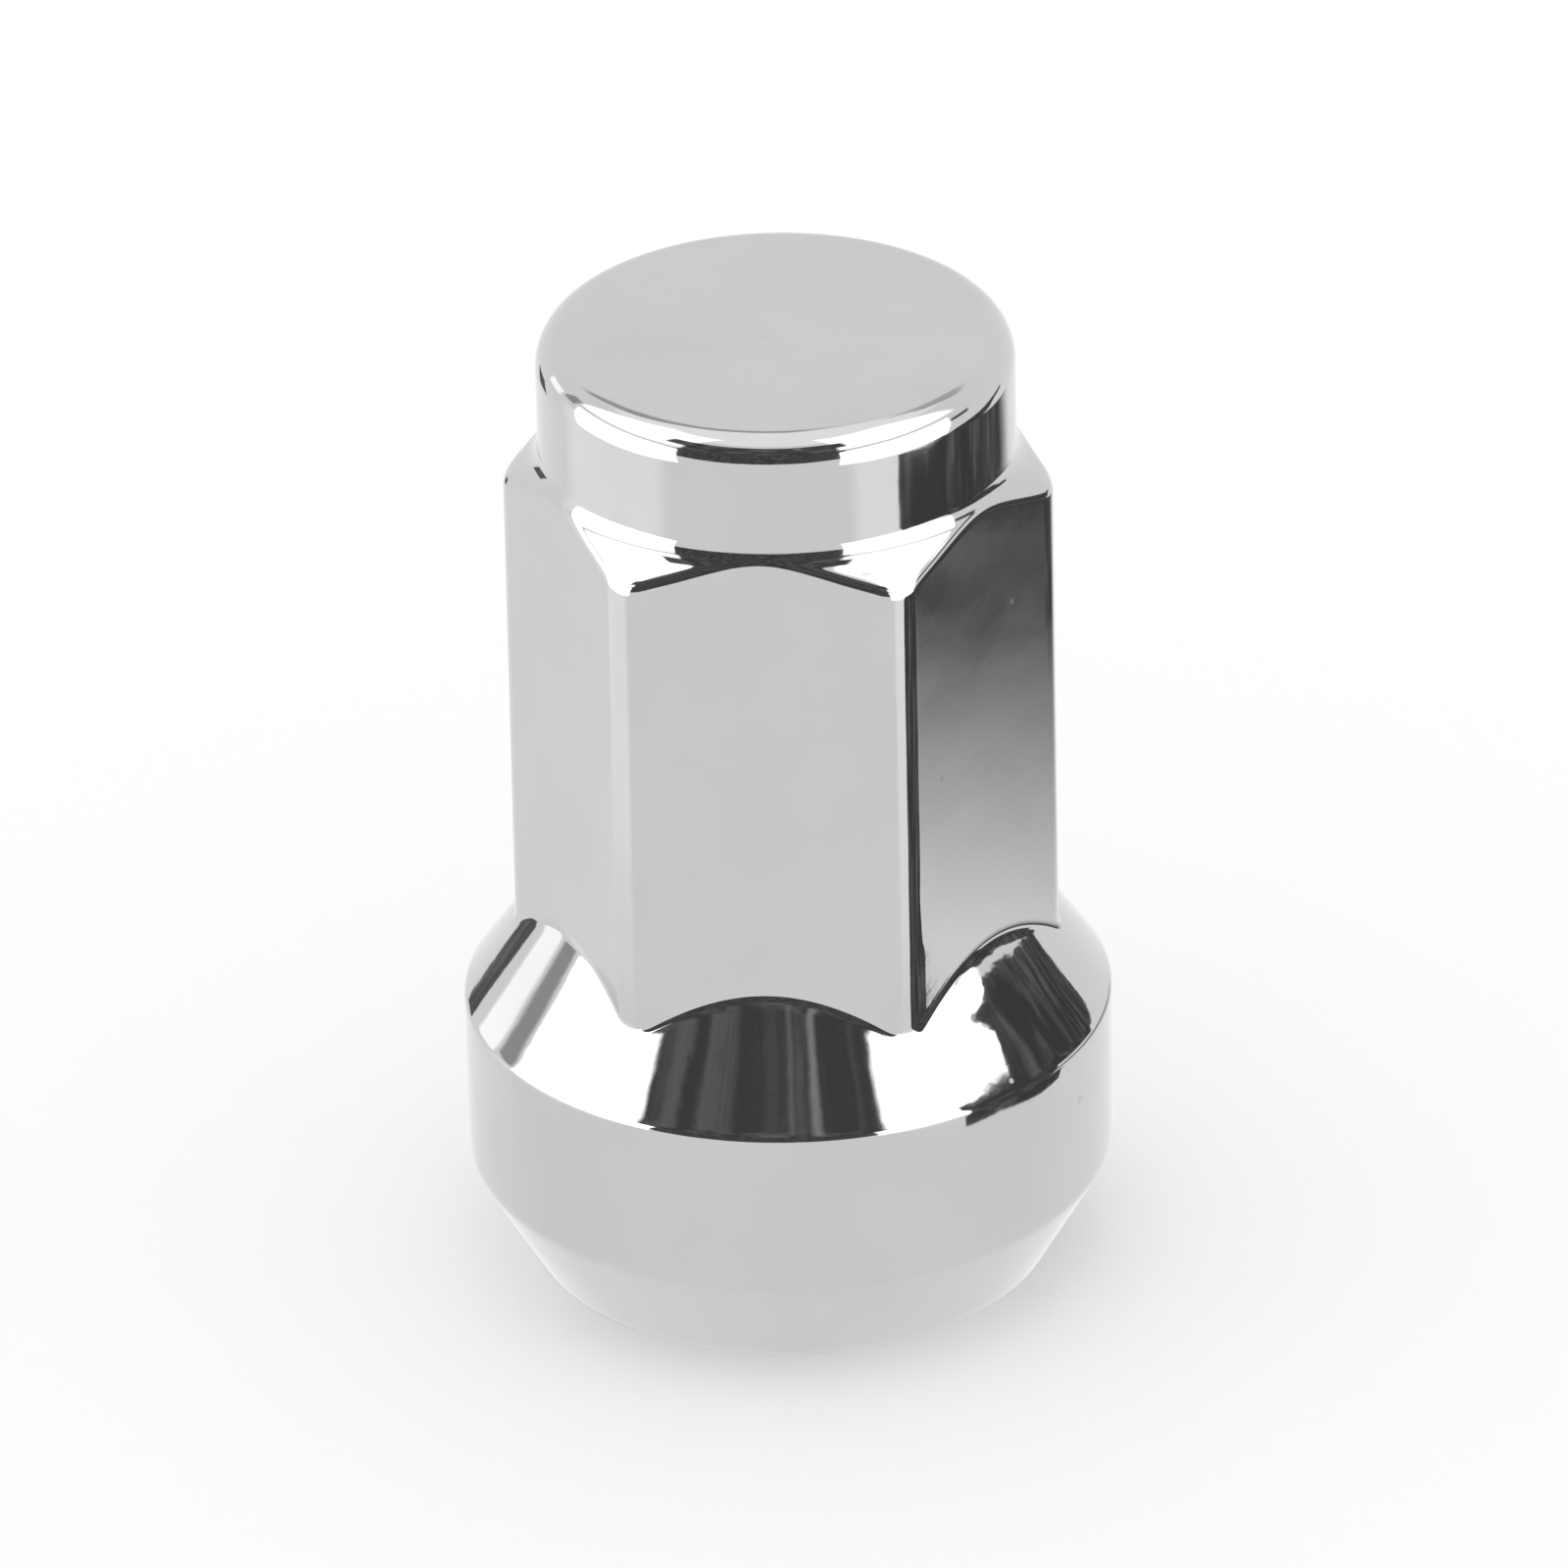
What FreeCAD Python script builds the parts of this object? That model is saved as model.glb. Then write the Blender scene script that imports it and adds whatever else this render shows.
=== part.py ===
"""Closed-end hexagon wheel nut with a bulge and a conical seat, standing on its open end.

Frame: the origin is the centre of the open end, and +Z points up to the closed cap.
One flat of the hexagon faces -Y. Lengths are in millimetres and angles in degrees.
"""
import FreeCAD, Part
import os
from math import cos, pi, radians, sin, tan

from FreeCAD import Vector

os.makedirs("parts", exist_ok=True)

# Heights: the whole nut, its collar down to the shoulder, and the two bands at the open end
TOTAL_HEIGHT = 39.8
COLLAR_HEIGHT = 5.4
BULGE_BAND_HEIGHT = 6.6
SEAT_HEIGHT = 4.4

# Hexagon that the socket grips, and the cone that chamfers its six corners
SIDES = 6
ACROSS_FLATS = 19.0
CORNER_RADIUS = 1.7
CHAMFER_SLOPE = 37.0
ARCH_EDGE_RADIUS = 1.0

# Round collar and flat closed cap above the hexagon
COLLAR_INSET = 0.2
CAP_EDGE_RADIUS = 1.0
SHOULDER_RADIUS = 1.5

# Bulge, the flare that runs from it up into the flats, and the conical seat below it
BULGE_DIAMETER = 25.5
BULGE_TOP_RADIUS = 0.5
BULGE_BOTTOM_RADIUS = 1.0
FLARE_HALF_ANGLE = 35.0
SCALLOP_RADIUS = 0.8
SEAT_HALF_ANGLE = 30.0

# Blind hole for the wheel stud, drawn at the thread's minor diameter
THREAD_DIAMETER = 12.0
THREAD_PITCH = 1.5
THREAD_DEPTH_PER_PITCH = 0.54127
MOUTH_CLEARANCE = 0.3
MOUTH_SLOPE = 45.0
HOLE_DEPTH = 30.0
DRILL_TIP_HALF_ANGLE = 59.0

# How far one solid reaches past another before the two are joined or cut
OVERRUN = 1.0
NEARLY_NOTHING = 0.001

# Sizes that follow from the ones above
flat_distance = ACROSS_FLATS / 2
corner_centre_distance = (flat_distance - CORNER_RADIUS) / cos(pi / SIDES)
corner_distance = corner_centre_distance + CORNER_RADIUS
collar_radius = flat_distance - COLLAR_INSET
bulge_radius = BULGE_DIAMETER / 2
shoulder_level = TOTAL_HEIGHT - COLLAR_HEIGHT
bulge_top_level = SEAT_HEIGHT + BULGE_BAND_HEIGHT
thread_minor_radius = THREAD_DIAMETER / 2 - THREAD_DEPTH_PER_PITCH * THREAD_PITCH
mouth_radius = THREAD_DIAMETER / 2 + MOUTH_CLEARANCE


def rounded_outline(corners):
    """A closed face in the XZ plane through corners given as (radius, height, rounding)."""
    points = [Vector(radius, 0, height) for radius, height, rounding in corners]
    stretches = []
    for index, (radius, height, rounding) in enumerate(corners):
        corner = points[index]
        back = (points[index - 1] - corner).normalize()
        ahead = (points[(index + 1) % len(points)] - corner).normalize()
        if rounding == 0:
            stretches.append((corner, None, corner))
            continue
        half_angle = back.getAngle(ahead) / 2
        inward = (back + ahead).normalize()
        centre = corner + inward * (rounding / sin(half_angle))
        reach = rounding / tan(half_angle)
        middle = centre - inward * rounding
        stretches.append((corner + back * reach, middle, corner + ahead * reach))
    edges = []
    for index, (start, middle, end) in enumerate(stretches):
        if middle is not None:
            edges.append(Part.Arc(start, middle, end).toShape())
        next_start = stretches[(index + 1) % len(stretches)][0]
        edges.append(Part.LineSegment(end, next_start).toShape())
    return Part.Face(Part.Wire(edges))


def turned(corners):
    """The solid that a lathe would leave from a half outline."""
    return rounded_outline(corners).revolve(Vector(0, 0, 0), Vector(0, 0, 1), 360)


def direction(angle):
    """A unit vector in plan at an angle in radians from +X."""
    return Vector(cos(angle), sin(angle), 0)


def hexagon_bar():
    """The bar with rounded corners that the six flats belong to, buried in the bulge below."""
    step = 2 * pi / SIDES
    corners = []
    for side in range(SIDES):
        flat_angle = -pi / 2 + side * step
        outward = direction(flat_angle + step / 2)
        centre = outward * corner_centre_distance
        start = centre + direction(flat_angle) * CORNER_RADIUS
        end = centre + direction(flat_angle + step) * CORNER_RADIUS
        corners.append((start, centre + outward * CORNER_RADIUS, end))
    edges = []
    for side, (start, middle, end) in enumerate(corners):
        next_start = corners[(side + 1) % SIDES][0]
        edges.append(Part.Arc(start, middle, end).toShape())
        edges.append(Part.LineSegment(end, next_start).toShape())
    plan = Part.Face(Part.Wire(edges))
    bottom = bulge_top_level - OVERRUN
    plan.translate(Vector(0, 0, bottom))
    return plan.extrude(Vector(0, 0, TOTAL_HEIGHT + OVERRUN - bottom))


def top_envelope():
    """Cap, collar, shoulder and corner chamfer as one turned shape that trims the hexagon."""
    slope = tan(radians(CHAMFER_SLOPE))
    outer_radius = corner_distance + OVERRUN
    outer_level = shoulder_level - (outer_radius - flat_distance) * slope
    collar_foot_level = shoulder_level + COLLAR_INSET * slope
    bottom = bulge_top_level - 2 * OVERRUN
    return turned([
        (0, bottom, 0),
        (outer_radius, bottom, 0),
        (outer_radius, outer_level, 0),
        (collar_radius, collar_foot_level, SHOULDER_RADIUS),
        (collar_radius, TOTAL_HEIGHT, CAP_EDGE_RADIUS),
        (0, TOTAL_HEIGHT, 0),
    ])


def bulge_and_seat():
    """Conical seat, bulge band and the flare, whose top is buried inside the flats."""
    foot_radius = bulge_radius - SEAT_HEIGHT * tan(radians(SEAT_HALF_ANGLE))
    buried_radius = flat_distance - OVERRUN
    buried_level = bulge_top_level + (bulge_radius - buried_radius) / tan(radians(FLARE_HALF_ANGLE))
    return turned([
        (0, 0, 0),
        (foot_radius, 0, 0),
        (bulge_radius, SEAT_HEIGHT, BULGE_BOTTOM_RADIUS),
        (bulge_radius, bulge_top_level, BULGE_TOP_RADIUS),
        (buried_radius, buried_level, 0),
        (0, buried_level, 0),
    ])


def stud_hole():
    """Countersunk mouth, straight wall and drill tip, to be cut from below."""
    mouth_slope = tan(radians(MOUTH_SLOPE))
    wall_start = (mouth_radius - thread_minor_radius) * mouth_slope
    tip_level = HOLE_DEPTH + thread_minor_radius / tan(radians(DRILL_TIP_HALF_ANGLE))
    return turned([
        (0, -OVERRUN, 0),
        (mouth_radius + OVERRUN / mouth_slope, -OVERRUN, 0),
        (thread_minor_radius, wall_start, 0),
        (thread_minor_radius, HOLE_DEPTH, 0),
        (0, tip_level, 0),
    ])


def is_side(face):
    """True for the hexagon's flats and its rounded corners."""
    surface = face.Surface
    if isinstance(surface, Part.Plane):
        return abs(surface.Axis.z) < NEARLY_NOTHING
    return isinstance(surface, Part.Cylinder) and abs(surface.Radius - CORNER_RADIUS) < NEARLY_NOTHING


def ends_of_sides(solid, above):
    """Edges where the hexagon's sides stop, at the chamfer's arches or at the flare's scallops."""
    middle_level = (shoulder_level + bulge_top_level) / 2
    found = []
    for edge in solid.Edges:
        sides = [face for face in solid.ancestorsOfType(edge, Part.Face) if is_side(face)]
        if len(sides) == 1 and (edge.CenterOfMass.z > middle_level) == above:
            found.append(edge)
    return found


def nut_body():
    """The whole nut, forged, machined and plated as one piece."""
    barrel = hexagon_bar().common(top_envelope())
    body = barrel.fuse(bulge_and_seat()).cut(stud_hole()).removeSplitter()
    body = body.makeFillet(ARCH_EDGE_RADIUS, ends_of_sides(body, True))
    return body.makeFillet(SCALLOP_RADIUS, ends_of_sides(body, False))


body = nut_body()
if body.ShapeType == "Compound":
    body = body.Solids[0]
print("solids", len(body.Solids), "valid", body.isValid(), "volume", round(body.Volume, 1))
print("box", body.BoundBox)
body.exportStep("parts/nut_body.step")
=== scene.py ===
"""Looks of the chrome wheel nut: its finely rounded skin, its thread, the plating and the studio."""
from math import acos, atan2, cos, degrees, hypot, pi, radians, sin, sqrt, tan

import bmesh
import bpy
from mathutils import Matrix, Vector


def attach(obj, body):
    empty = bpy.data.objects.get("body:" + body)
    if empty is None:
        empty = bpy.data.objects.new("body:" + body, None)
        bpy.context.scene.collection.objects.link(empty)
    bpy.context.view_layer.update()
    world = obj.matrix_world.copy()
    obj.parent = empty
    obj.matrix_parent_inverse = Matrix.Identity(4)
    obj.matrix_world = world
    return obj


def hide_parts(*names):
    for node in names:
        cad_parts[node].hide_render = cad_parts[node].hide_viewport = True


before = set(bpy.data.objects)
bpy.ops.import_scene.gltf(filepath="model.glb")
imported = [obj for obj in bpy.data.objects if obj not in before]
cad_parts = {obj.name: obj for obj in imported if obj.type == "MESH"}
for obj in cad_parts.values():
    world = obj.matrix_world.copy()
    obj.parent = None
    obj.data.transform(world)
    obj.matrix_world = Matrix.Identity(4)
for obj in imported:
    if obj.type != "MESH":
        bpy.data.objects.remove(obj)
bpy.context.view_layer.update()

# Sizes are in millimetres, unless their comment says otherwise; this turns them into metres
MM = 0.001

# Heights of the nut above its open end
TOTAL_HEIGHT = 39.8
SHOULDER_LEVEL = 34.4
BULGE_TOP_LEVEL = 11.0
SEAT_HEIGHT = 4.4

# Hexagon, collar and cap; the cap's edge reaches in less than it drops
SIDES = 6
FLAT_DISTANCE = 9.5
CORNER_RADIUS = 1.7
CHAMFER_SLOPE = radians(37)
COLLAR_RADIUS = 9.3
CAP_EDGE_REACH = 1.0
CAP_EDGE_DROP = 1.3
SHOULDER_RADIUS = 1.5
ARCH_EDGE_RADIUS = 1.0

# Flare, bulge, seat and foot
BULGE_RADIUS = 12.75
FLARE_HALF_ANGLE = radians(35)
SCALLOP_RADIUS = 0.8
BULGE_TOP_RADIUS = 0.5
BULGE_BOTTOM_RADIUS = 1.0
SEAT_HALF_ANGLE = radians(30)
FOOT_EDGE_RADIUS = 0.3

# Stud hole and its thread
THREAD_MINOR_RADIUS = 5.188
THREAD_MAJOR_RADIUS = 6.0
THREAD_PITCH = 1.5
MOUTH_RADIUS = 6.3
HOLE_DEPTH = 30.0
THREAD_END_LEVEL = 28.0
DRILL_TIP_HALF_ANGLE = radians(59)

# Shares of the pitch that the thread's flat crest and its two flanks take
THREAD_CREST_SHARE = 0.25
THREAD_FLANK_SHARE = 0.625

# How finely the nut is divided: columns all round, rows in each curved stretch, and where the
# rows of the cap and of the straight walls lie, as shares of their length
SKIN_COLUMNS = 384
CAP_SHARES = (0.0, 0.2, 0.4, 0.6, 0.8, 0.95, 0.995)
WALL_SHARES = (0.0, 0.004, 0.02, 0.1, 0.3, 0.5, 0.7, 0.9, 0.98, 0.996)
CAP_EDGE_ROWS = 14
SHOULDER_ROWS = 26
FLARE_ROWS = 26
SEAT_ROWS = 28
BORE_COLUMNS = 96
ROWS_PER_PITCH = 10

# How strongly a millimetre of line and a radian of turn draw a stretch's rows to themselves
LINE_WEIGHT = 0.8
TURN_WEIGHT = 1.2

# Vertices closer than WELD are one, and one closer to the axis than ON_AXIS is on it, in metres
WELD = 1e-6
ON_AXIS = 1e-9
ROUNDING_ERROR = 1e-12

# Edges that turn by more than this stay crisp
EDGE_ANGLE = radians(30)

# Plating: its colour where it is brightest and where it is hazed, and the bare steel of the bore
CHROME = (0.58, 0.58, 0.583, 1.0)
CHROME_HAZED = (0.562, 0.563, 0.568, 1.0)
STEEL = (0.3, 0.295, 0.29, 1.0)
BRIGHT_ROUGHNESS = 0.035
HAZED_ROUGHNESS = 0.06
TURNED_ROUGHNESS = 0.0175
PIT_ROUGHNESS = 0.34
STEEL_ROUGHNESS = 0.38

# Relief of the plating: waves to a metre, how finely they break up, and their depth in metres
RIPPLE_WAVES, RIPPLE_DETAIL, RIPPLE_DEPTH = 240.0, 1.0, 3.2e-5
PEEL_WAVES, PEEL_DETAIL, PEEL_DEPTH = 1200.0, 2.0, 2.6e-6
DRAWN_WAVES, DRAWN_DETAIL, DRAWN_DEPTH = 700.0, 1.0, 2.0e-6
TURNED_WAVES, TURNED_DEPTH = 3200.0, 1.5e-7

# How many of the drawn lines' waves there are along the nut for each one across it
DRAWN_STRETCH = 0.04

# Heights between which the flats show drawn lines, and over which the turned rings set in
DRAWN_START, DRAWN_END, DRAWN_BORDER = 14.0, 33.4, 1.0
TURNED_START, TURNED_FULL = 34.4, 35.4

# Haze: waves to a metre, how finely they break up, and the values between which it sets in
HAZE_WAVES, HAZE_DETAIL = 190.0, 4.0
HAZE_START, HAZE_END = 0.38, 0.66

# Pits: cells to a metre, the largest pit as a share of a cell, and the share of clean cells
PIT_CELLS, PIT_SIZE, PIT_FREE_SHARE = 420.0, 0.09, 0.8

# Bare steel shows within this distance of the axis and below this height
STEEL_REACH, STEEL_TOP = 6.6, 34.4

# Floor, its half size in metres and its lift for the camera
FLOOR_COLOUR = (0.9, 0.9, 0.9, 1.0)
FLOOR_HALF_SIZE = 3.0
FLOOR_LIFT = 0.11

# The room: its colour, how bright it lights the floor, how bright chrome sees it between the
# panels, and how bright the camera sees it behind the nut
WHITE = (1.0, 1.0, 1.0, 1.0)
FILL_LEVEL = 1.0
ROOM_LEVEL = 1.0
BACKDROP_LEVEL = 1.0

# Pools of light on the floor as chrome shows it: azimuth from and to and softness, in degrees,
# how much brighter they are, and the distances from the axis over which they set in
POOLS = ((-108, -50, 6), (40, 66, 4))
POOL_GAIN = 0.2
POOL_START, POOL_END = 26, 60

# The floor's unlit side as chrome shows it: azimuth from and to and softness, in degrees, the
# heading in plan along which it darkens, from where to where, how dark it gets, and where it ends
UNLIT_SIDE = (80, 140, 8)
UNLIT_HEADING = (0.81, 0.58)
UNLIT_START, UNLIT_END = 31.5, 61.0
UNLIT_LEVEL = 0.075
UNLIT_BORDER = (80, 84)

# What chrome sees of the room: azimuth from and to (0 is -Y, 90 is +X), elevation from and to,
# softness of the borders, all in degrees, and brightness; later panels lie over earlier ones
PANELS = (
    (-180, 180, 50, 120, 4, 1.25),  # the ceiling
    (-179, -140, 40, 56, 2, 0.5),  # a grey patch behind, at the left
    (132, 165, 42, 56, 2, 0.6),  # a grey patch behind, at the right
    (-104, -40, 20, 66, 2, 2.4),  # the white box at the left
    (34, 98, 20, 66, 2, 2.4),  # the white box at the right
    (90, 104, -4, 5, 1.2, 0.1),  # a low dark patch at the right
    (-42, 34, -5, 42.5, 1.5, 0.07),  # the dark gap in front
    (-52.5, 40, 28, 42.5, 1.5, 0.07),  # the gap's wider top
    (13.2, 16.8, 36, 44, 1.5, 0.3),  # a paler strip in the gap's top
    (3.5, 5.5, 37.5, 43, 1.2, 0.16),  # a fainter one beside it
    (-113, -105, 8, 24, 1, 0.42),  # a grey strip at the left
    (-127, -115, 0, 12, 1, 1.6),  # a bright strip at the left
)

# Plain upright cards: name, azimuth from and to in degrees, distance from the axis, height
# from and to, brightness
CARDS = (
    ("front_card", -42, 36, 140, 28, 80, 0.06),
    ("left_card", -98.5, -41, 110, 0.1, 62, 2.4),
    ("right_card", 32.5, 88, 110, 0.1, 62, 2.4),
    ("far_left_card", -139, -128, 100, 0.1, 18, 0.12),
)

# The dark card at the right: where it starts in plan, where it heads, and its outline as
# distance along it and height; at its foot, just above the floor, lies a dark sheet of painted
# shadow, the shade on the floor beside the card, given as distance along the card and distance
# from it toward the nut
SIDE_CARD_START = (29.6, -18.2)
SIDE_CARD_HEADING = (0.482, 0.877)
SIDE_CARD_OUTLINE = (
    (-0.8, 0.1), (24, 0.1), (24, 14), (58, 12), (62, 17), (82, 17), (82, 22), (58, 23.8),
    (36, 25.5), (19.4, 27.4), (17.2, 26.9), (13.4, 26.7), (9.4, 27.1), (14.2, 25.2),
    (13.0, 24.3), (12.0, 23.8), (7.0, 24.4), (2.0, 24.9), (-0.8, 25.4),
)
SIDE_CARD_PAINTED_SHADOW = (
    (-0.8, 0), (-0.8, 4.9), (5.5, 4.9), (11.6, 8.2), (17.1, 10.9), (22, 8), (22, 0),
)
SIDE_CARD_PAINTED_SHADOW_LEVEL = 0.2
SIDE_CARD_BRIGHTNESS = 0.065

# Cloudy patches on what is dark: how bright they may get, their share of that, how finely they
# break up, and the values between which they set in
CLOUD_TOP = 0.32
CLOUD_GAIN = 0.4
CLOUD_DETAIL = 4.0
CLOUD_START, CLOUD_END = 0.42, 0.72

# Waves of the clouds to a metre on the cards and the floor, and to a radian in the room
CARD_CLOUDS = 260.0
FLOOR_CLOUDS = 110.0
ROOM_CLOUDS = 8.0

# Camera, with its angles in degrees and its clipping distances in metres
SENSOR_WIDTH = 36.0
FOCAL_LENGTH = 430.0
NEAREST, FARTHEST = 0.01, 20.0
VIEW_AZIMUTH = 4.65
VIEW_ELEVATION = 28.45
VIEW_DISTANCE = 733.4
VIEW_ROLL = -1.18

# In degrees: a whole turn, and one radian
WHOLE_TURN = 360
RADIAN = degrees(1)

# Numbers of a Mix node's colour sockets, which share their names with its value sockets
COLOUR_A, COLOUR_B, COLOUR_RESULT = 6, 7, 2

# Distance from the axis to the centre of a corner's rounding
corner_centre = (FLAT_DISTANCE - CORNER_RADIUS) / cos(pi / SIDES)


def hexagon_radius(azimuth):
    """Distance from the axis to the rounded hexagon in plan, where one flat faces -Y."""
    step = 2 * pi / SIDES
    off_flat = abs((azimuth + pi / 2 + step / 2) % step - step / 2)
    straight_end = (FLAT_DISTANCE - CORNER_RADIUS) * tan(step / 2)
    if FLAT_DISTANCE * tan(off_flat) <= straight_end:
        return FLAT_DISTANCE / cos(off_flat)
    off_corner = step / 2 - off_flat
    across = corner_centre * sin(off_corner)
    return corner_centre * cos(off_corner) + sqrt(CORNER_RADIUS ** 2 - across ** 2)


class Stroke:
    """A run of straight lines and arcs in the half plane of radius and height, drawn in turn."""

    def __init__(self, radius, height, heading):
        self.pieces = []
        self.radius, self.height, self.heading = radius, height, heading

    def line(self, length):
        """Goes straight on."""
        self.pieces.append((self.radius, self.height, self.heading, length, 0.0))
        self.radius += cos(self.heading) * length
        self.height += sin(self.heading) * length

    def arc(self, bend_radius, turn):
        """Turns left by a positive angle and right by a negative one."""
        self.pieces.append((self.radius, self.height, self.heading, bend_radius, turn))
        side = pi / 2 if turn > 0 else -pi / 2
        centre = (self.radius + cos(self.heading + side) * bend_radius,
                  self.height + sin(self.heading + side) * bend_radius)
        self.heading += turn
        self.radius = centre[0] - cos(self.heading + side) * bend_radius
        self.height = centre[1] - sin(self.heading + side) * bend_radius

    def points(self, count):
        """Evenly spread by length and by turning together, so that arcs get more of them."""
        weights = [abs(turn) * (TURN_WEIGHT + amount) if turn else amount * LINE_WEIGHT
                   for *_, amount, turn in self.pieces]
        total, out, index, gone = sum(weights), [], 0, 0.0
        last = len(self.pieces) - 1
        for step in range(count):
            wanted = total * step / count
            while index < last and gone + weights[index] < wanted - ROUNDING_ERROR:
                gone += weights[index]
                index += 1
            share = (wanted - gone) / weights[index] if weights[index] else 0.0
            radius, height, heading, amount, turn = self.pieces[index]
            part = Stroke(radius, height, heading)
            if turn:
                part.arc(amount, turn * share)
            else:
                part.line(amount * share)
            out.append((part.radius, part.height))
        return out


def cap():
    """The flat top and its edge, which rolls over faster at the top than down the collar."""
    flat_radius = COLLAR_RADIUS - CAP_EDGE_REACH
    rows = [(flat_radius * share, TOTAL_HEIGHT) for share in CAP_SHARES]
    for step in range(CAP_EDGE_ROWS):
        turn = pi / 2 * step / CAP_EDGE_ROWS
        rows.append((flat_radius + CAP_EDGE_REACH * sin(turn),
                     TOTAL_HEIGHT - CAP_EDGE_DROP * (1 - cos(turn))))
    return rows


def shoulder_start():
    """Where the collar begins to spread into the chamfer cone, the same all round."""
    lean = pi / 2 - CHAMFER_SLOPE
    cone_at_collar = SHOULDER_LEVEL + (FLAT_DISTANCE - COLLAR_RADIUS) * tan(CHAMFER_SLOPE)
    return cone_at_collar + SHOULDER_RADIUS * tan(lean / 2)


def shoulder(barrel_radius):
    """From the collar out to the barrel: hollow curve, chamfer cone where there is room, soft edge."""
    lean = pi / 2 - CHAMFER_SLOPE
    spread = barrel_radius - COLLAR_RADIUS
    curved = SHOULDER_RADIUS + ARCH_EDGE_RADIUS
    turn = lean
    if curved * (1 - cos(lean)) > spread:
        turn = acos(1 - spread / curved)
    slant = (spread - curved * (1 - cos(turn))) / sin(turn)
    stroke = Stroke(COLLAR_RADIUS, shoulder_start(), -pi / 2)
    stroke.arc(SHOULDER_RADIUS, turn)
    stroke.line(slant)
    stroke.arc(ARCH_EDGE_RADIUS, -turn)
    return stroke


def flare(barrel_radius):
    """From the barrel down the flare to the bulge, with both bends."""
    stroke = Stroke(barrel_radius, flare_level(barrel_radius), -pi / 2)
    stroke.arc(SCALLOP_RADIUS, FLARE_HALF_ANGLE)
    top_reach = BULGE_TOP_RADIUS * tan(FLARE_HALF_ANGLE / 2)
    remaining = BULGE_RADIUS - top_reach * sin(FLARE_HALF_ANGLE) - stroke.radius
    stroke.line(remaining / sin(FLARE_HALF_ANGLE))
    stroke.arc(BULGE_TOP_RADIUS, -FLARE_HALF_ANGLE)
    return stroke


def flare_level(barrel_radius):
    """Where the flats begin to curve out into the flare."""
    meeting = BULGE_TOP_LEVEL + (BULGE_RADIUS - barrel_radius) / tan(FLARE_HALF_ANGLE)
    return meeting + SCALLOP_RADIUS * tan(FLARE_HALF_ANGLE / 2)


def seat():
    """Down the bulge and in along the seat to the foot, with both bends."""
    bottom_reach = BULGE_BOTTOM_RADIUS * tan(SEAT_HALF_ANGLE / 2)
    top_level = BULGE_TOP_LEVEL - BULGE_TOP_RADIUS * tan(FLARE_HALF_ANGLE / 2)
    stroke = Stroke(BULGE_RADIUS, top_level, -pi / 2)
    stroke.line(top_level - SEAT_HEIGHT - bottom_reach)
    stroke.arc(BULGE_BOTTOM_RADIUS, -SEAT_HALF_ANGLE)
    foot_turn = pi / 2 - SEAT_HALF_ANGLE
    foot_reach = FOOT_EDGE_RADIUS * tan(foot_turn / 2)
    slant = SEAT_HEIGHT / cos(SEAT_HALF_ANGLE) - bottom_reach - foot_reach
    stroke.line(slant)
    stroke.arc(FOOT_EDGE_RADIUS, -foot_turn)
    return stroke


def meridian(azimuth):
    """The nut's outside from the middle of the cap to the foot, at one azimuth."""
    barrel = hexagon_radius(azimuth)
    top = cap()
    start = shoulder_start()
    collar_top = TOTAL_HEIGHT - CAP_EDGE_DROP
    wall = [(COLLAR_RADIUS, collar_top + (start - collar_top) * share) for share in WALL_SHARES]
    bend = shoulder(barrel)
    arch_level = bend.height
    lower = flare(barrel)
    scallop_level = flare_level(barrel)
    flat = [(barrel, arch_level + (scallop_level - arch_level) * share) for share in WALL_SHARES]
    foot = seat()
    last = (foot.radius, 0.0)
    return (top + wall + bend.points(SHOULDER_ROWS) + flat + lower.points(FLARE_ROWS)
            + foot.points(SEAT_ROWS) + [last])


def spun(outline, columns, climb=0.0):
    """Spins an outline of (radius, height) rows once round the axis, keeping each row's number.

    With a climb, the end of the turn lies that much higher than its start.
    """
    bm = bmesh.new()
    row = bm.verts.layers.int.new("row")
    rail = [bm.verts.new((0, -radius * MM, height * MM)) for radius, height in outline]
    for number, vert in enumerate(rail):
        vert[row] = number
    edges = [bm.edges.new(pair) for pair in zip(rail, rail[1:])]
    bmesh.ops.spin(bm, geom=rail + edges, cent=(0, 0, 0), axis=(0, 0, 1), angle=2 * pi,
                   dvec=(0, 0, climb * MM / columns), steps=columns, use_merge=climb == 0,
                   use_duplicate=False)
    return bm, row


def skin():
    """The outside: a spun outline whose columns are drawn out to the hexagon at their azimuth."""
    bm, row = spun(meridian(-pi / 2), SKIN_COLUMNS)
    outlines = {}
    for vert in bm.verts:
        if hypot(vert.co.x, vert.co.y) < ON_AXIS:
            continue
        azimuth = atan2(vert.co.y, vert.co.x)
        column = round((azimuth + pi / 2) * SKIN_COLUMNS / (2 * pi)) % SKIN_COLUMNS
        if column not in outlines:
            outlines[column] = meridian(column * 2 * pi / SKIN_COLUMNS - pi / 2)
        radius, height = outlines[column][vert[row]]
        vert.co = Vector((cos(azimuth) * radius, sin(azimuth) * radius, height)) * MM
    return bm


def thread_radius(phase):
    """Distance from the axis to the thread's wall, where phase 0 to 1 is one turn's pitch."""
    rise = abs(phase % 1.0 - 0.5) * 2
    share = min(max((rise - THREAD_CREST_SHARE) / THREAD_FLANK_SHARE, 0.0), 1.0)
    return THREAD_MINOR_RADIUS + (THREAD_MAJOR_RADIUS - THREAD_MINOR_RADIUS) * share


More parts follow.
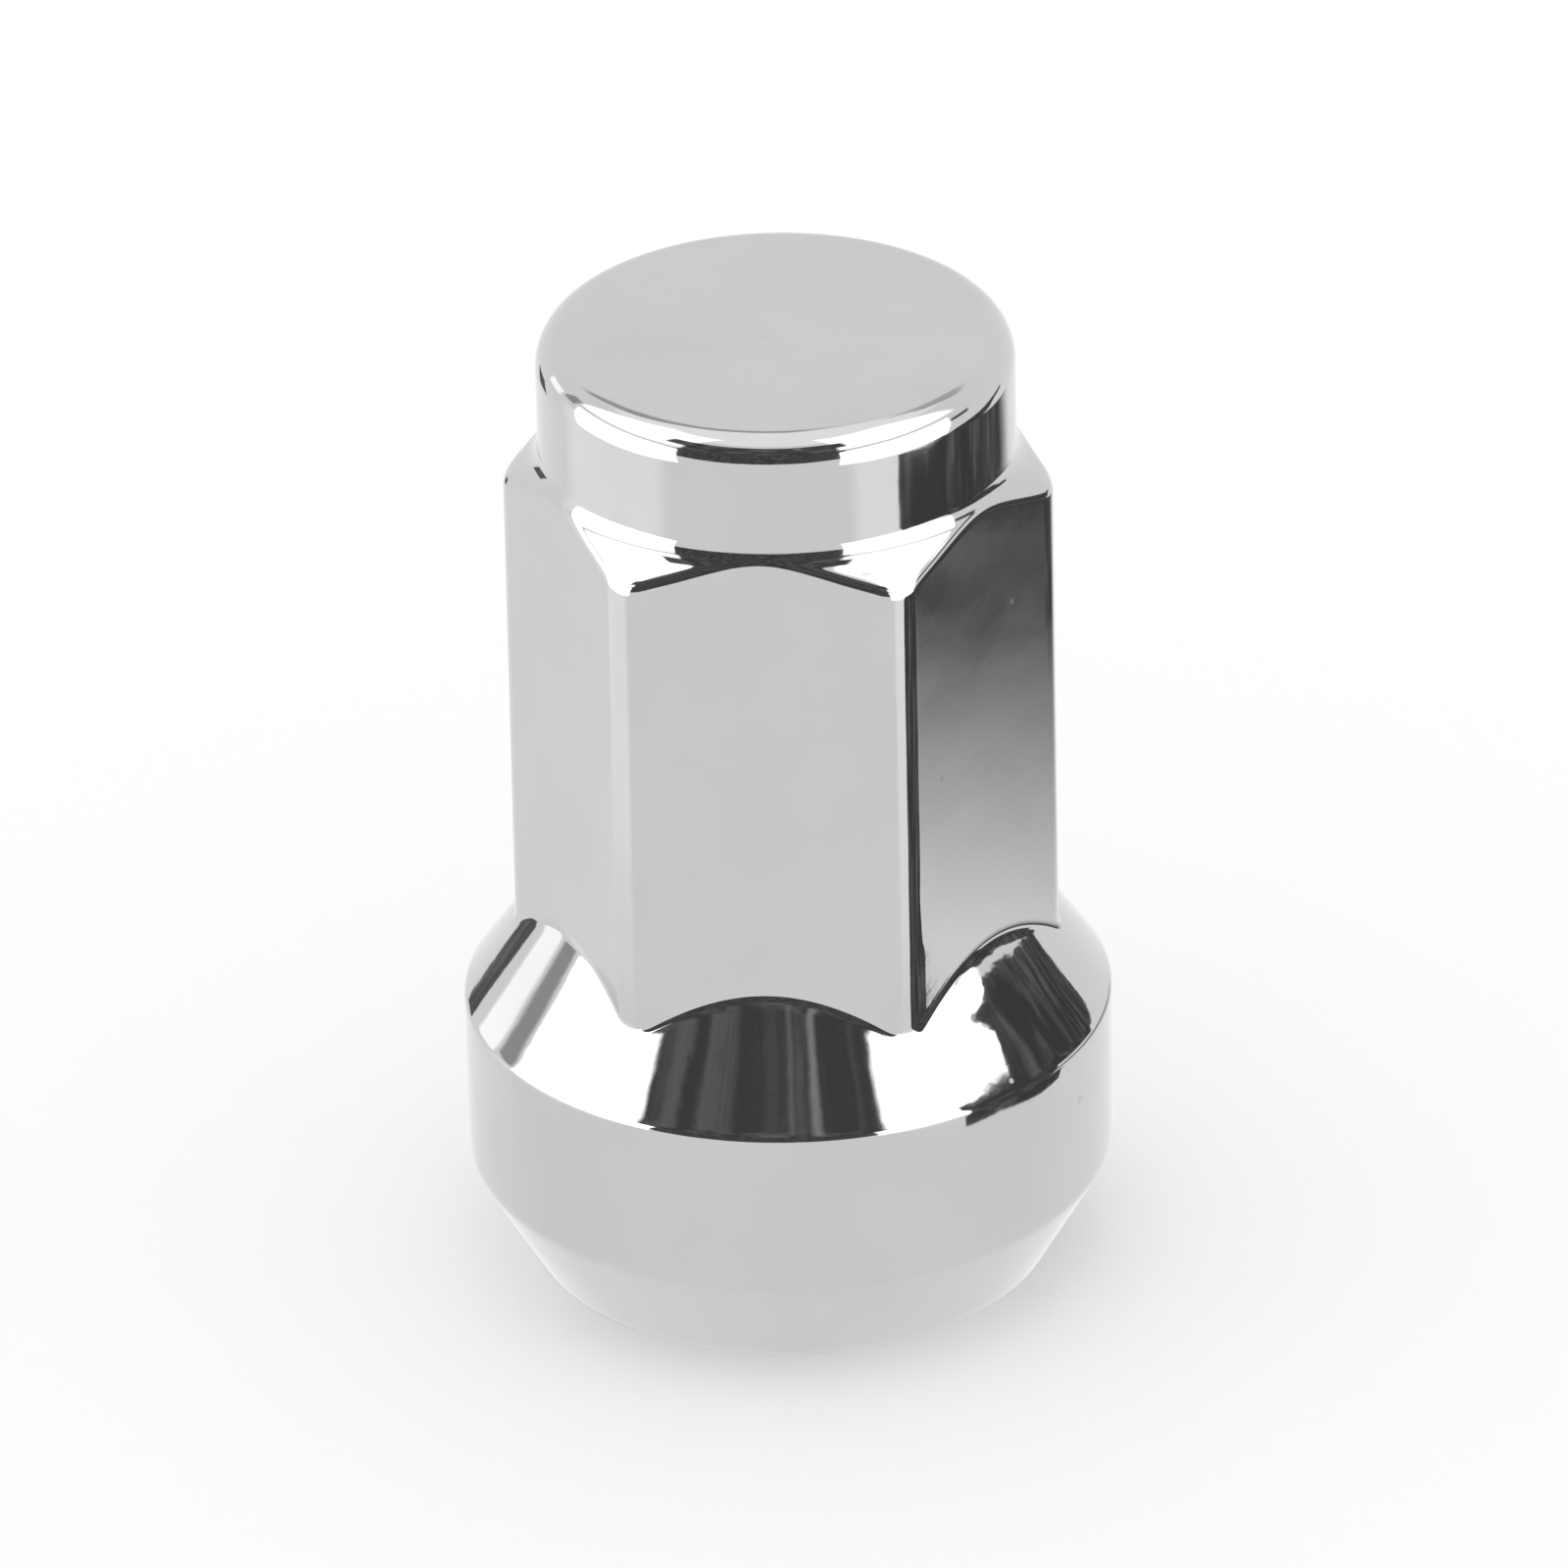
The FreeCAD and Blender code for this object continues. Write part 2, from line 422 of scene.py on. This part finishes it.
def bore():
    """The threaded hole: a countersunk mouth, the thread on its helix, a plain wall, a drill tip."""
    step = THREAD_PITCH / ROWS_PER_PITCH
    count = round(THREAD_END_LEVEL / step) + 2 * ROWS_PER_PITCH
    starts = [number * step - THREAD_PITCH for number in range(count)]
    tip_level = HOLE_DEPTH + THREAD_MINOR_RADIUS / tan(DRILL_TIP_HALF_ANGLE)
    outline = [(THREAD_MINOR_RADIUS, start) for start in starts]
    outline += [(THREAD_MINOR_RADIUS, HOLE_DEPTH), (0.0, tip_level)]
    bm, row = spun(outline, BORE_COLUMNS, climb=THREAD_PITCH)
    for vert in bm.verts:
        number = vert[row]
        if number >= count:
            vert.co.z = outline[number][1] * MM
            continue
        turned = (vert.co.z / MM - starts[number]) / THREAD_PITCH
        height = min(max(vert.co.z / MM, 0.0), THREAD_END_LEVEL)
        wall = thread_radius(height / THREAD_PITCH - turned)
        if height >= THREAD_END_LEVEL:
            wall = THREAD_MINOR_RADIUS
        radius = max(wall, MOUTH_RADIUS - height)
        azimuth = atan2(vert.co.y, vert.co.x)
        vert.co = Vector((cos(azimuth) * radius, sin(azimuth) * radius, height)) * MM
    return bm


def placed(name, bm):
    """A new piece at the origin, from a shape that is then done with."""
    mesh = bpy.data.meshes.new(name)
    bm.to_mesh(mesh)
    bm.free()
    piece = bpy.data.objects.new(name, mesh)
    bpy.context.scene.collection.objects.link(piece)
    return piece


def nut():
    """Skin and bore made one closed body, shaded smooth but for its true edges."""
    bm, inside = skin(), bore()
    hole = bpy.data.meshes.new("hole")
    inside.to_mesh(hole)
    inside.free()
    bm.from_mesh(hole)
    bpy.data.meshes.remove(hole)
    bmesh.ops.remove_doubles(bm, verts=bm.verts, dist=WELD)
    bmesh.ops.dissolve_degenerate(bm, edges=bm.edges, dist=WELD)
    rims = [edge for edge in bm.edges if edge.is_boundary]
    bmesh.ops.bridge_loops(bm, edges=rims)
    bmesh.ops.recalc_face_normals(bm, faces=bm.faces)
    for face in bm.faces:
        face.smooth = True
    for edge in bm.edges:
        edge.smooth = edge.is_manifold and edge.calc_face_angle() < EDGE_ANGLE
    print("nut: faces", len(bm.faces), "open edges", sum(e.is_boundary for e in bm.edges),
          "volume mm3", round(bm.calc_volume() / MM ** 3, 1))
    return placed("nut_skin", bm)


# Material helpers

def add(tree, kind, **values):
    """A node with its inputs set by socket name."""
    node = tree.nodes.new(kind)
    for name, value in values.items():
        node.inputs[name].default_value = value
    return node


def math(tree, operation, first, second=None, third=None):
    """A Math node fed by numbers or by sockets; gives its output socket."""
    node = tree.nodes.new("ShaderNodeMath")
    node.operation = operation
    for socket, value in zip(node.inputs, (first, second, third)):
        if value is None:
            continue
        if isinstance(value, (int, float)):
            socket.default_value = value
        else:
            tree.links.new(value, socket)
    return node.outputs[0]


def ramp(tree, value, low, high):
    """0 below one value and 1 above the other, eased between them."""
    node = tree.nodes.new("ShaderNodeMapRange")
    node.interpolation_type = "SMOOTHSTEP"
    tree.links.new(value, node.inputs["Value"])
    node.inputs["From Min"].default_value = low
    node.inputs["From Max"].default_value = high
    return node.outputs["Result"]


def window(tree, value, low, high, soft):
    """1 between two values and 0 outside them, with soft borders."""
    rise = ramp(tree, value, low - soft, low + soft)
    fall = ramp(tree, value, high - soft, high + soft)
    return math(tree, "MULTIPLY", rise, math(tree, "SUBTRACT", 1.0, fall))


def blend(tree, share, low, high):
    """Moves a value toward another by a mask."""
    node = tree.nodes.new("ShaderNodeMix")
    tree.links.new(share, node.inputs["Factor"])
    for socket, value in ((node.inputs["A"], low), (node.inputs["B"], high)):
        if isinstance(value, (int, float)):
            socket.default_value = value
        else:
            tree.links.new(value, socket)
    return node.outputs["Result"]


def noise(tree, place, scale, detail):
    """Soft noise round 0.5 at a place, with so many waves to a metre."""
    node = add(tree, "ShaderNodeTexNoise", Scale=scale, Detail=detail)
    tree.links.new(place, node.inputs["Vector"])
    return node.outputs["Fac"]


def tinted(tree, share, low, high):
    """Moves a colour toward another by a mask."""
    node = tree.nodes.new("ShaderNodeMix")
    node.data_type = "RGBA"
    tree.links.new(share, node.inputs["Factor"])
    for socket, value in ((node.inputs[COLOUR_A], low), (node.inputs[COLOUR_B], high)):
        if isinstance(value, tuple):
            socket.default_value = value
        else:
            tree.links.new(value, socket)
    return node.outputs[COLOUR_RESULT]


def object_place(tree):
    """The place on the piece, as a vector."""
    return tree.nodes.new("ShaderNodeTexCoord").outputs["Object"]


def parts(tree, vector):
    """The three parts of a vector."""
    split = tree.nodes.new("ShaderNodeSeparateXYZ")
    tree.links.new(vector, split.inputs[0])
    return split.outputs


def off_axis(tree, x, y):
    """Distance from the nut's axis."""
    square = math(tree, "MULTIPLY_ADD", y, y, math(tree, "MULTIPLY", x, x))
    return math(tree, "SQRT", square)


def turning_marks(tree, z, reach):
    """Rings on the cap and round the collar, where the bar was faced and turned."""
    node = tree.nodes.new("ShaderNodeTexNoise")
    node.noise_dimensions = "1D"
    node.inputs["Scale"].default_value = TURNED_WAVES
    tree.links.new(math(tree, "ADD", z, reach), node.inputs["W"])
    turned = ramp(tree, z, TURNED_START * MM, TURNED_FULL * MM)
    return math(tree, "MULTIPLY", node.outputs["Fac"], turned)


def drawing_marks(tree, place, z):
    """Faint lines along the flats, which the bar was drawn with."""
    squeeze = add(tree, "ShaderNodeMapping", Scale=(1.0, 1.0, DRAWN_STRETCH))
    tree.links.new(place, squeeze.inputs["Vector"])
    lines = noise(tree, squeeze.outputs[0], DRAWN_WAVES, DRAWN_DETAIL)
    flats = window(tree, z, DRAWN_START * MM, DRAWN_END * MM, DRAWN_BORDER * MM)
    return math(tree, "MULTIPLY", lines, flats)


def pits(tree, place):
    """A mask of a few tiny specks where the plating is dull."""
    cells = add(tree, "ShaderNodeTexVoronoi", Scale=PIT_CELLS)
    tree.links.new(place, cells.inputs["Vector"])
    chance = tree.nodes.new("ShaderNodeSeparateColor")
    tree.links.new(cells.outputs["Color"], chance.inputs[0])
    chosen = math(tree, "GREATER_THAN", chance.outputs[0], PIT_FREE_SHARE)
    size = math(tree, "MULTIPLY", chance.outputs[1], PIT_SIZE)
    near = math(tree, "LESS_THAN", cells.outputs["Distance"], size)
    return math(tree, "MULTIPLY", chosen, near)


def chrome():
    """Bright plating with the ripple and peel of a forging, haze, tool marks and a few pits.

    The stud hole is bare steel, because the plating hardly reaches into it.
    """
    material = bpy.data.materials.new("bright_chrome")
    material.use_nodes = True
    tree = material.node_tree
    shader = tree.nodes["Principled BSDF"]
    shader.inputs["Metallic"].default_value = 1.0
    place = object_place(tree)
    x, y, z = parts(tree, place)
    reach = off_axis(tree, x, y)
    inside = math(tree, "MULTIPLY", math(tree, "LESS_THAN", reach, STEEL_REACH * MM),
                  math(tree, "LESS_THAN", z, STEEL_TOP * MM))
    haze = ramp(tree, noise(tree, place, HAZE_WAVES, HAZE_DETAIL), HAZE_START, HAZE_END)
    turned = turning_marks(tree, z, reach)
    dull = pits(tree, place)

    colour = tinted(tree, haze, CHROME, CHROME_HAZED)
    tree.links.new(tinted(tree, inside, colour, STEEL), shader.inputs["Base Color"])

    roughness = blend(tree, haze, BRIGHT_ROUGHNESS, HAZED_ROUGHNESS)
    roughness = math(tree, "MULTIPLY_ADD", turned, TURNED_ROUGHNESS, roughness)
    roughness = blend(tree, dull, roughness, PIT_ROUGHNESS)
    roughness = blend(tree, inside, roughness, STEEL_ROUGHNESS)
    tree.links.new(roughness, shader.inputs["Roughness"])

    ripple = noise(tree, place, RIPPLE_WAVES, RIPPLE_DETAIL)
    peel = noise(tree, place, PEEL_WAVES, PEEL_DETAIL)
    height = math(tree, "MULTIPLY", ripple, RIPPLE_DEPTH)
    height = math(tree, "MULTIPLY_ADD", peel, PEEL_DEPTH, height)
    height = math(tree, "MULTIPLY_ADD", drawing_marks(tree, place, z), DRAWN_DEPTH, height)
    height = math(tree, "MULTIPLY_ADD", turned, TURNED_DEPTH, height)
    relief = add(tree, "ShaderNodeBump", Strength=1.0, Distance=1.0)
    tree.links.new(height, relief.inputs["Height"])
    tree.links.new(relief.outputs[0], shader.inputs["Normal"])
    return material


def mottled(tree, place, scale, level):
    """Lifts what is dark by soft cloudy patches and leaves what is bright."""
    cloud = ramp(tree, noise(tree, place, scale, CLOUD_DETAIL), CLOUD_START, CLOUD_END)
    below_top = math(tree, "MAXIMUM", math(tree, "SUBTRACT", CLOUD_TOP, level), 0.0)
    return math(tree, "MULTIPLY_ADD", below_top, math(tree, "MULTIPLY", cloud, CLOUD_GAIN), level)


def compass(tree, x, y):
    """Azimuth in degrees round the nut, 0 toward -Y and 90 toward +X."""
    turn = math(tree, "ARCTAN2", x, math(tree, "MULTIPLY", y, -1.0))
    return math(tree, "MULTIPLY", turn, RADIAN)


def shown_floor(tree):
    """The floor's brightness as chrome shows it: two pools of light and an unlit side."""
    place = object_place(tree)
    x, y, _ = parts(tree, place)
    azimuth = compass(tree, x, y)
    outward = ramp(tree, off_axis(tree, x, y), POOL_START * MM, POOL_END * MM)
    outward = math(tree, "MULTIPLY", outward, POOL_GAIN)
    level = ROOM_LEVEL
    for pool in POOLS:
        level = math(tree, "MULTIPLY_ADD", outward, window(tree, azimuth, *pool), level)
    away = math(tree, "ADD", math(tree, "MULTIPLY", x, UNLIT_HEADING[0] / MM),
                math(tree, "MULTIPLY", y, UNLIT_HEADING[1] / MM))
    fall = tree.nodes.new("ShaderNodeMapRange")
    tree.links.new(away, fall.inputs["Value"])
    fall.inputs["From Min"].default_value = UNLIT_START
    fall.inputs["From Max"].default_value = UNLIT_END
    fall.inputs["To Min"].default_value = ROOM_LEVEL
    fall.inputs["To Max"].default_value = UNLIT_LEVEL
    side = window(tree, azimuth, *UNLIT_SIDE)
    near = math(tree, "SUBTRACT", 1.0, ramp(tree, away, *UNLIT_BORDER))
    unlit = mottled(tree, place, FLOOR_CLOUDS, fall.outputs["Result"])
    return blend(tree, math(tree, "MULTIPLY", side, near), level, unlit)


def bare_material(name):
    """A material with nothing but its output; gives its nodes and the output's surface socket."""
    material = bpy.data.materials.new(name)
    material.use_nodes = True
    tree = material.node_tree
    tree.nodes.clear()
    return material, tree, tree.nodes.new("ShaderNodeOutputMaterial").inputs["Surface"]


def floor():
    """A pale floor that takes the nut's shadow and looks a little lighter to the camera."""
    bm = bmesh.new()
    bmesh.ops.create_grid(bm, x_segments=1, y_segments=1, size=FLOOR_HALF_SIZE)
    piece = placed("floor", bm)
    material, tree, surface = bare_material("pale_floor")
    path = tree.nodes.new("ShaderNodeLightPath")
    matt = add(tree, "ShaderNodeBsdfDiffuse", Color=FLOOR_COLOUR)
    lift = tree.nodes.new("ShaderNodeEmission")
    seen = math(tree, "MAXIMUM", path.outputs["Is Camera Ray"], path.outputs["Is Transmission Ray"])
    tree.links.new(math(tree, "MULTIPLY", seen, FLOOR_LIFT), lift.inputs["Strength"])
    lifted = tree.nodes.new("ShaderNodeAddShader")
    tree.links.new(matt.outputs[0], lifted.inputs[0])
    tree.links.new(lift.outputs[0], lifted.inputs[1])
    mirrored = tree.nodes.new("ShaderNodeEmission")
    tree.links.new(shown_floor(tree), mirrored.inputs["Strength"])
    either = tree.nodes.new("ShaderNodeMixShader")
    tree.links.new(path.outputs["Is Glossy Ray"], either.inputs[0])
    tree.links.new(lifted.outputs[0], either.inputs[1])
    tree.links.new(mirrored.outputs[0], either.inputs[2])
    tree.links.new(either.outputs[0], surface)
    piece.data.materials.append(material)


def card(name, corners, strength):
    """A flat card that only the chrome sees, cut to corners given in millimetres."""
    bm = bmesh.new()
    bm.faces.new([bm.verts.new(Vector(corner) * MM) for corner in corners])
    piece = placed(name, bm)
    material, tree, surface = bare_material(name)
    glow = tree.nodes.new("ShaderNodeEmission")
    level = mottled(tree, object_place(tree), CARD_CLOUDS, strength)
    tree.links.new(level, glow.inputs["Strength"])
    tree.links.new(glow.outputs[0], surface)
    piece.data.materials.append(material)
    piece.visible_camera = False
    piece.visible_diffuse = False
    piece.visible_transmission = False
    piece.visible_shadow = False


def cards():
    """The plain upright cards, and the cut-out dark one at the right with painted shadow at its foot.
    """
    for name, first, last, distance, bottom, top, strength in CARDS:
        start, end = [(sin(radians(azimuth)) * distance, -cos(radians(azimuth)) * distance)
                      for azimuth in (first, last)]
        corners = [(*start, bottom), (*end, bottom), (*end, top), (*start, top)]
        card(name, corners, strength)
    start = Vector((*SIDE_CARD_START, 0))
    along = Vector((*SIDE_CARD_HEADING, 0))
    inward = Vector((-SIDE_CARD_HEADING[1], SIDE_CARD_HEADING[0], 0))
    outline = [start + along * run + Vector((0, 0, height)) for run, height in SIDE_CARD_OUTLINE]
    card("side_card", outline, SIDE_CARD_BRIGHTNESS)
    # A dark sheet lying on the floor at the card's foot: painted shadow, which only the chrome sees
    foot = [start + along * run + inward * reach + Vector((0, 0, SIDE_CARD_PAINTED_SHADOW_LEVEL))
            for run, reach in SIDE_CARD_PAINTED_SHADOW]
    card("side_card_painted_shadow", foot, SIDE_CARD_BRIGHTNESS)


def studio():
    """The world: an even soft room for the floor, and the panels that only chrome shows."""
    world = bpy.data.worlds.new("studio")
    bpy.context.scene.world = world
    world.use_nodes = True
    tree = world.node_tree
    tree.nodes.clear()
    out = tree.nodes.new("ShaderNodeOutputWorld")
    back = add(tree, "ShaderNodeBackground", Color=WHITE)
    outward = tree.nodes.new("ShaderNodeTexCoord").outputs["Generated"]
    x, y, z = parts(tree, outward)
    rise = math(tree, "MULTIPLY", math(tree, "ARCSINE", z), RADIAN)
    turn = compass(tree, x, y)
    level = ROOM_LEVEL
    for turn_low, turn_high, rise_low, rise_high, soft, strength in PANELS:
        mask = window(tree, rise, rise_low, rise_high, soft)
        if turn_high - turn_low < WHOLE_TURN:
            mask = math(tree, "MULTIPLY", mask, window(tree, turn, turn_low, turn_high, soft))
        level = blend(tree, mask, level, strength)
    level = mottled(tree, outward, ROOM_CLOUDS, level)
    path = tree.nodes.new("ShaderNodeLightPath")
    level = blend(tree, path.outputs["Is Glossy Ray"], FILL_LEVEL, level)
    level = blend(tree, path.outputs["Is Camera Ray"], level, BACKDROP_LEVEL)
    tree.links.new(level, back.inputs["Strength"])
    tree.links.new(back.outputs[0], out.inputs["Surface"])


def camera():
    """From where the photograph was taken, aimed at the nut's middle."""
    lens = bpy.data.cameras.new("camera")
    piece = bpy.data.objects.new("camera", lens)
    bpy.context.scene.collection.objects.link(piece)
    lens.sensor_width = SENSOR_WIDTH
    lens.lens = FOCAL_LENGTH
    lens.clip_start, lens.clip_end = NEAREST, FARTHEST
    turn, rise = radians(VIEW_AZIMUTH), radians(VIEW_ELEVATION)
    back = Vector((sin(turn) * cos(rise), -cos(turn) * cos(rise), sin(rise)))
    spot = Vector((0, 0, TOTAL_HEIGHT / 2 * MM)) + back * VIEW_DISTANCE * MM
    aim = (-back).to_track_quat("-Z", "Y").to_matrix()
    roll = Matrix.Rotation(radians(VIEW_ROLL), 3, "Z")
    piece.matrix_world = Matrix.Translation(spot) @ (aim @ roll).to_4x4()
    bpy.context.scene.camera = piece


nut_skin = nut()
nut_skin.data.materials.append(chrome())
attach(nut_skin, "root")
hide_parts("nut_body")
floor()
cards()
studio()
camera()
bpy.context.scene.view_settings.view_transform = "Standard"
